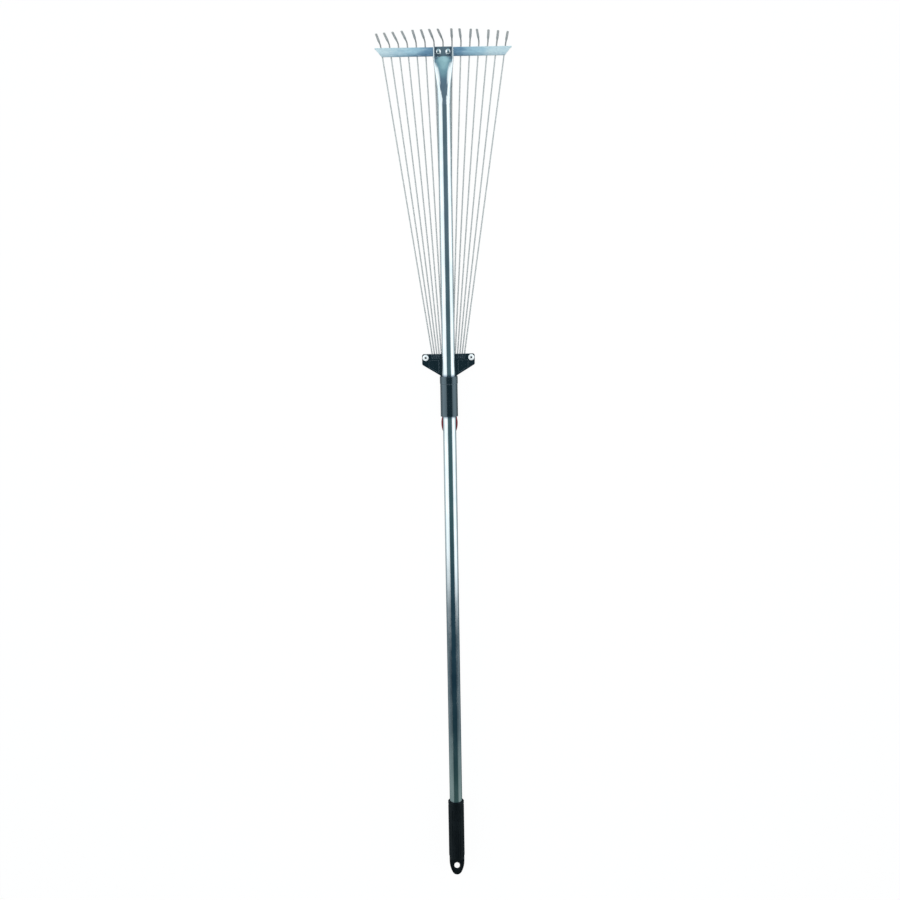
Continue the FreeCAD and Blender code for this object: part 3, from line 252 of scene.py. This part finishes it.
def grip_rubber():
    """Matt black moulded rubber, finely grained, with pale specks and edges greyed by handling."""
    black, charcoal = (0.0015, 0.0024, 0.0030), (0.0045, 0.0062, 0.0072)
    dust, edge_tone = (0.020, 0.023, 0.025), (0.012, 0.015, 0.017)
    material, tree, shader = finish("grip_black_rubber", IOR=1.5, Specular_IOR_Level=0.17,
                                    Specular_Tint=rgba(COOL_GLINT))
    plain = place(tree)
    grain = noise(tree, plain, scale=2400.0, detail=5.0, roughness=0.65)
    handled = noise(tree, place(tree, (1.0, 0.5, 1.0)), scale=55.0, detail=4.0, roughness=0.6)
    tone = mix(tree, ramp(tree, handled, 0.35, 0.7), black, charcoal)
    specks = ramp(tree, cells(tree, plain, scale=900.0), 0.16, 0.05, start=0.0, end=0.35)
    tone = mix(tree, specks, tone, dust)
    tone = mix(tree, edge_mask(tree, reach=0.0006, strength=0.5), tone, edge_tone)
    rough = add(tree, ramp(tree, handled, *CLOUD_LEVELS, start=0.40, end=0.55), multiply(tree, grain, 0.12))
    coat(tree, shader, tone, rough)
    relief(tree, shader, grain, distance=0.00006, strength=0.8, edge=0.0005)
    return material


def galvanised_sheet():
    """Hot-dip zinc in bluish flakes, paler on rubbed edges, with a painted reflection from dark in the
    middle to pale towards the ends, and painted shade at the near edge.
    """
    middle, halfway, end = (0.14, 0.28, 0.42), (0.42, 0.64, 0.75), (0.68, 0.83, 0.87)
    shaded, flake = (0.07, 0.15, 0.24), (0.30, 0.46, 0.60)
    streak, edge_tone = (0.90, 0.98, 1.00), (0.90, 0.96, 0.98)
    material, tree, shader = finish("galvanised_zinc", Metallic=0.25)
    plain = place(tree)
    bend = 0.012
    warp = node(tree, "ShaderNodeTexNoise", {"Vector": plain, "Scale": 130.0, "Detail": 2.0})
    bent = node(tree, "ShaderNodeMix", {0: bend, 4: plain, 5: warp.outputs["Color"]}, data_type="VECTOR")
    flakes = node(tree, "ShaderNodeTexVoronoi", {"Vector": bent.outputs[1], "Scale": 210.0})
    shade = split(tree, flakes.outputs["Color"])[0]
    streaks = noise(tree, place(tree, (0.12, 1.0, 1.0)), scale=420.0, detail=4.0, roughness=0.6)
    bloom = noise(tree, place(tree, (0.35, 1.0, 1.0)), scale=75.0, detail=3.0, roughness=0.5)
    x, y, _ = split(tree, plain)
    wander = ramp(tree, bloom, *CLOUD_LEVELS, start=-0.014, end=0.014)
    outward = add(tree, math_node(tree, "ABSOLUTE", x), wander)
    # Painted reflection: dark blue in the middle, turning pale towards the ends, where the change wanders a
    # little.
    zinc = mix(tree, ramp(tree, outward, *CROSSBAR_MIDDLE_X), middle, halfway)
    zinc = mix(tree, ramp(tree, outward, *CROSSBAR_END_X), zinc, end)
    # Painted shade: the sheet darkens towards its near edge, most in the middle.
    near_edge = ramp(tree, y, *CROSSBAR_DARK_EDGE_Y)
    inner = ramp(tree, outward, *CROSSBAR_EDGE_FADE_X, start=0.30, end=0.75)
    zinc = mix(tree, multiply(tree, near_edge, inner), zinc, shaded)
    zinc = mix(tree, multiply(tree, shade, 0.25), zinc, flake)
    zinc = mix(tree, ramp(tree, streaks, 0.55, 0.8, start=0.0, end=0.4), zinc, streak)
    zinc = mix(tree, edge_mask(tree, reach=0.0005, strength=0.25), zinc, edge_tone)
    rough = add(tree, ramp(tree, shade, 0.0, 1.0, start=0.26, end=0.42),
                ramp(tree, streaks, 0.3, 0.8, start=0.0, end=0.08))
    coat(tree, shader, zinc, rough)
    height = add(tree, multiply(tree, shade, 0.5), streaks)
    relief(tree, shader, height, distance=0.00003, strength=0.6, edge=0.0005)
    return material


def fastener_steel():
    """White zinc-plated steel with fine turning marks, and painted shade where it is hollow."""
    dull, bright, hollow_shade = (0.93, 0.945, 0.95), (0.99, 0.995, 1.00), (0.012, 0.015, 0.018)
    material, tree, shader = finish("bright_fastener", Metallic=0.12)
    plain = place(tree)
    fine = noise(tree, plain, scale=3200.0, detail=4.0, roughness=0.6)
    steel = clouded(tree, noise(tree, plain, scale=420.0), dull, bright)
    # Painted shade: the colour darkens in the recesses.
    steel = shaded_in_hollows(tree, steel, hollow_shade, reach=0.003, open_above=0.88, shaded_below=0.58)
    coat(tree, shader, steel, ramp(tree, fine, *GRAIN_LEVELS, start=0.16, end=0.34))
    relief(tree, shader, fine, distance=0.00002, strength=0.6, edge=0.0004)
    return material


def rivet_steel():
    """Polished rivet heads with faint press marks, and painted shade where they meet the tongue."""
    dull, bright, hollow_shade = (0.80, 0.83, 0.85), (0.93, 0.95, 0.96), (0.05, 0.065, 0.08)
    material, tree, shader = finish("polished_rivet", Metallic=1.0)
    plain = place(tree)
    fine = noise(tree, plain, scale=1900.0, detail=4.0, roughness=0.6)
    steel = clouded(tree, noise(tree, plain, scale=320.0), dull, bright)
    # Painted shade: the colour darkens where the heads meet the tongue.
    steel = shaded_in_hollows(tree, steel, hollow_shade, reach=0.002, open_above=0.75, shaded_below=0.45)
    coat(tree, shader, steel, ramp(tree, fine, *GRAIN_LEVELS, start=0.06, end=0.16))
    relief(tree, shader, fine, distance=0.00002, strength=0.5)
    return material


def black_plastic():
    """Glossy black moulded nylon with a faint orange peel, dull handling marks, and rubbed edges with a
    painted highlight.
    """
    black, charcoal, edge_tone = (0.0008, 0.0022, 0.0040), (0.0020, 0.0042, 0.0065), (0.16, 0.20, 0.24)
    material, tree, shader = finish("black_nylon", IOR=2.2, Specular_Tint=rgba(COOL_GLINT))
    peel = noise(tree, place(tree), scale=700.0)
    flow = noise(tree, place(tree, (1.0, 0.25, 1.0)), scale=90.0, detail=4.0, roughness=0.55)
    tone = clouded(tree, flow, black, charcoal)
    # Partly rubbed wear, partly a painted highlight: the edges turn bluish grey as if they caught the
    # light.
    tone = mix(tree, edge_mask(tree, reach=0.0008, strength=0.6), tone, edge_tone)
    rough = add(tree, ramp(tree, flow, 0.35, 0.75, start=0.15, end=0.24), multiply(tree, peel, 0.06))
    coat(tree, shader, tone, rough)
    relief(tree, shader, peel, distance=0.00004, strength=0.5, edge=0.0006)
    return material


def red_plastic():
    """Deep crimson moulded plastic, slightly mottled, with a satin surface."""
    dark, light, edge_tone = (0.14, 0.0026, 0.009), (0.21, 0.005, 0.016), (0.55, 0.05, 0.07)
    material, tree, shader = finish("crimson_nylon", IOR=1.5)
    peel = noise(tree, place(tree), scale=900.0)
    flow = noise(tree, place(tree, (1.0, 0.3, 1.0)), scale=120.0, detail=4.0, roughness=0.6)
    tone = clouded(tree, flow, dark, light)
    tone = mix(tree, edge_mask(tree, reach=0.0006, strength=0.3), tone, edge_tone)
    rough = add(tree, ramp(tree, flow, *CLOUD_LEVELS, start=0.30, end=0.42), multiply(tree, peel, 0.08))
    coat(tree, shader, tone, rough)
    relief(tree, shader, peel, distance=0.00004, strength=0.5, edge=0.0005)
    return material


def tine_wire():
    """Drawn, zinc-coated spring wire, rougher at the hook's bend, with painted shade there and painted
    light on the flattened tip.
    """
    dull, bright = (0.51, 0.515, 0.51), (0.62, 0.625, 0.62)
    hook_painted_shade, tip_painted_light = (0.31, 0.305, 0.30), (0.54, 0.535, 0.53)
    material, tree, shader = finish("sprung_wire", Metallic=0.35)
    plain = place(tree)
    grain = noise(tree, place(tree, (1.0, 0.03, 1.0)), scale=3600.0, detail=4.0, roughness=0.6)
    blotches = noise(tree, plain, scale=240.0, detail=4.0, roughness=0.6)
    _, y, z = split(tree, plain)
    hook = ramp(tree, y, *HOOK_Y)
    tip = ramp(tree, z, *HOOK_TIP_Z)
    zinc = clouded(tree, blotches, dull, bright)
    # Painted shade on the hook's bend, and painted light on its flattened tip.
    zinc = mix(tree, multiply(tree, hook, 0.7), zinc, hook_painted_shade)
    zinc = mix(tree, multiply(tree, tip, 0.85), zinc, tip_painted_light)
    rough = add(tree, ramp(tree, blotches, *CLOUD_LEVELS, start=0.36, end=0.48), multiply(tree, hook, 0.12))
    coat(tree, shader, zinc, rough)
    relief(tree, shader, grain, distance=0.00002, strength=0.4)
    return material


def dress():
    """Gives every CAD node the finish of its material slot, and the rivets one of their own."""
    made = {
        "tube_metal": tube_metal(), "grip_rubber": grip_rubber(), "galvanised_sheet": galvanised_sheet(),
        "fastener_steel": fastener_steel(), "black_plastic": black_plastic(), "red_plastic": red_plastic(),
        "tine_wire": tine_wire(),
    }
    for piece in NODES.values():
        for index, old in enumerate(piece.data.materials):
            piece.data.materials[index] = made[old.name.split(".")[0]]
    rivets = NODES["crossbar_rivets"].data.materials
    rivets[0] = rivet_steel()


# ---------------------------------------------------------------- studio

def colour_band(tree, value, stops):
    """Colour that runs smoothly through stops of (place from 0 to 1, colour)."""
    made = node(tree, "ShaderNodeValToRGB", {"Fac": value})
    band = made.color_ramp
    band.interpolation = "EASE"
    while len(band.elements) < len(stops):
        band.elements.new(0.5)
    for element, (position, colour) in zip(band.elements, stops):
        element.position = position
        element.color = rgba(colour)
    return made.outputs["Color"]


def side_panels(tree, x, y, z):
    """How far a direction meets the panels at both sides, and their colour there."""
    white_inside, white_outside, white_below = (1.10, 1.18, 1.20), (1.22, 1.32, 1.36), (0.50, 0.58, 0.60)
    grey_inside, grey_outside = (0.024, 0.044, 0.060), (0.085, 0.120, 0.142)
    grey_below = (0.150, 0.200, 0.225)
    grey_by_grip, pale_past_grip = (0.24, 0.32, 0.31), (0.85, 0.94, 0.97)
    aside = math_node(tree, "ABSOLUTE", x)
    closer = ramp(tree, y, *PANEL_SHIFT_Y)
    left_x = math_node(tree, "SUBTRACT", x, multiply(tree, closer, LEFT_SHIFT))
    right_x = add(tree, x, multiply(tree, closer, RIGHT_SHIFT))
    met = math_node(tree, "MAXIMUM", ramp(tree, left_x, *LEFT_EDGE_X), ramp(tree, right_x, *RIGHT_EDGE_X))
    head_left = ramp(tree, y, *LEFT_END_Y)
    head_right = ramp(tree, y, *RIGHT_END_Y)
    is_right = math_node(tree, "GREATER_THAN", x, 0.0)
    head_end = node(tree, "ShaderNodeMix", {0: is_right, 2: head_left, 3: head_right}).outputs[0]
    white = mix(tree, ramp(tree, aside, 0.70, 0.95), white_inside, white_outside)
    white = mix(tree, ramp(tree, z, -0.40, -0.02), white_below, white)
    grey = mix(tree, ramp(tree, aside, 0.60, 1.00), grey_inside, grey_outside)
    grey = mix(tree, ramp(tree, z, 0.10, -0.20), grey, grey_below)
    grey = mix(tree, ramp(tree, y, -0.36, -0.45), grey, grey_by_grip)
    grey = mix(tree, ramp(tree, y, -0.50, -0.68), grey, pale_past_grip)
    return met, mix(tree, head_end, grey, white)


def world():
    """Soft studio surroundings: dark above, and side panels that are white by the head."""
    surroundings = bpy.data.worlds.new("studio")
    surroundings.use_nodes = True
    tree = surroundings.node_tree
    tree.nodes.clear()
    x, y, z = split(tree, node(tree, "ShaderNodeTexCoord").outputs["Generated"])
    along = multiply(tree, add(tree, y, 1.0), 0.5)
    overhead = colour_band(tree, along, OVERHEAD)
    met, panels = side_panels(tree, x, y, z)
    seen = mix(tree, met, overhead, panels)
    backdrop = node(tree, "ShaderNodeBackground", {"Color": rgba(BACKDROP_WHITE), "Strength": 1.0})
    light = node(tree, "ShaderNodeBackground", {"Color": seen, "Strength": 1.0})
    direct = node(tree, "ShaderNodeLightPath").outputs["Is Camera Ray"]
    either = node(tree, "ShaderNodeMixShader", {0: direct, 1: light.outputs[0], 2: backdrop.outputs[0]})
    output = node(tree, "ShaderNodeOutputWorld")
    tree.links.new(either.outputs[0], output.inputs["Surface"])
    bpy.context.scene.world = surroundings


def floor():
    """A plain white floor that only takes faint shadows, and neither shades nor is mirrored in the rake."""
    bpy.ops.mesh.primitive_plane_add(size=FLOOR_SIZE, location=(0.0, 0.0, FLOOR_Z))
    plane = bpy.context.object
    plane.name = "floor"
    plane.visible_glossy = False
    plane.visible_shadow = False
    material, _, shader = finish("floor_white", Roughness=1.0, Specular_IOR_Level=0.0)
    shader.inputs["Base Color"].default_value = rgba(FLOOR_GREY)
    shader.inputs["Emission Color"].default_value = rgba((1.0, 1.0, 1.0))
    shader.inputs["Emission Strength"].default_value = FLOOR_GLOW
    plane.data.materials.append(material)


def softbox():
    """A wide overhead light that fills matt surfaces and is not mirrored in the bright metal."""
    data = bpy.data.lights.new("softbox", "AREA")
    data.shape = "RECTANGLE"
    data.size, data.size_y = SOFTBOX_SIZE
    data.energy = SOFTBOX_WATTS
    light = bpy.data.objects.new("softbox", data)
    bpy.context.scene.collection.objects.link(light)
    light.location = SOFTBOX_PLACE
    light.visible_camera = False
    light.visible_glossy = False


def camera():
    """Straight above the handle, tipped towards the grip and rolled by one degree, as in the photograph."""
    data = bpy.data.cameras.new("camera")
    data.lens = CAMERA_LENS_MM
    data.sensor_width = SENSOR_WIDTH_MM
    data.clip_start = CLIP_NEAR
    data.clip_end = CLIP_FAR
    eye = bpy.data.objects.new("camera", data)
    bpy.context.scene.collection.objects.link(eye)
    back = Vector((0.0, math.sin(CAMERA_TILT), math.cos(CAMERA_TILT)))
    level = Vector((1.0, 0.0, 0.0))
    headward = back.cross(level)
    right = math.cos(CAMERA_ROLL) * level - math.sin(CAMERA_ROLL) * headward
    up = math.sin(CAMERA_ROLL) * level + math.cos(CAMERA_ROLL) * headward
    turn = Matrix((right, up, back)).transposed().to_4x4()
    eye.matrix_world = Matrix.Translation(CAMERA_PLACE) @ turn
    bpy.context.scene.camera = eye


dress()
world()
floor()
softbox()
camera()
bpy.context.scene.view_settings.view_transform = "Standard"
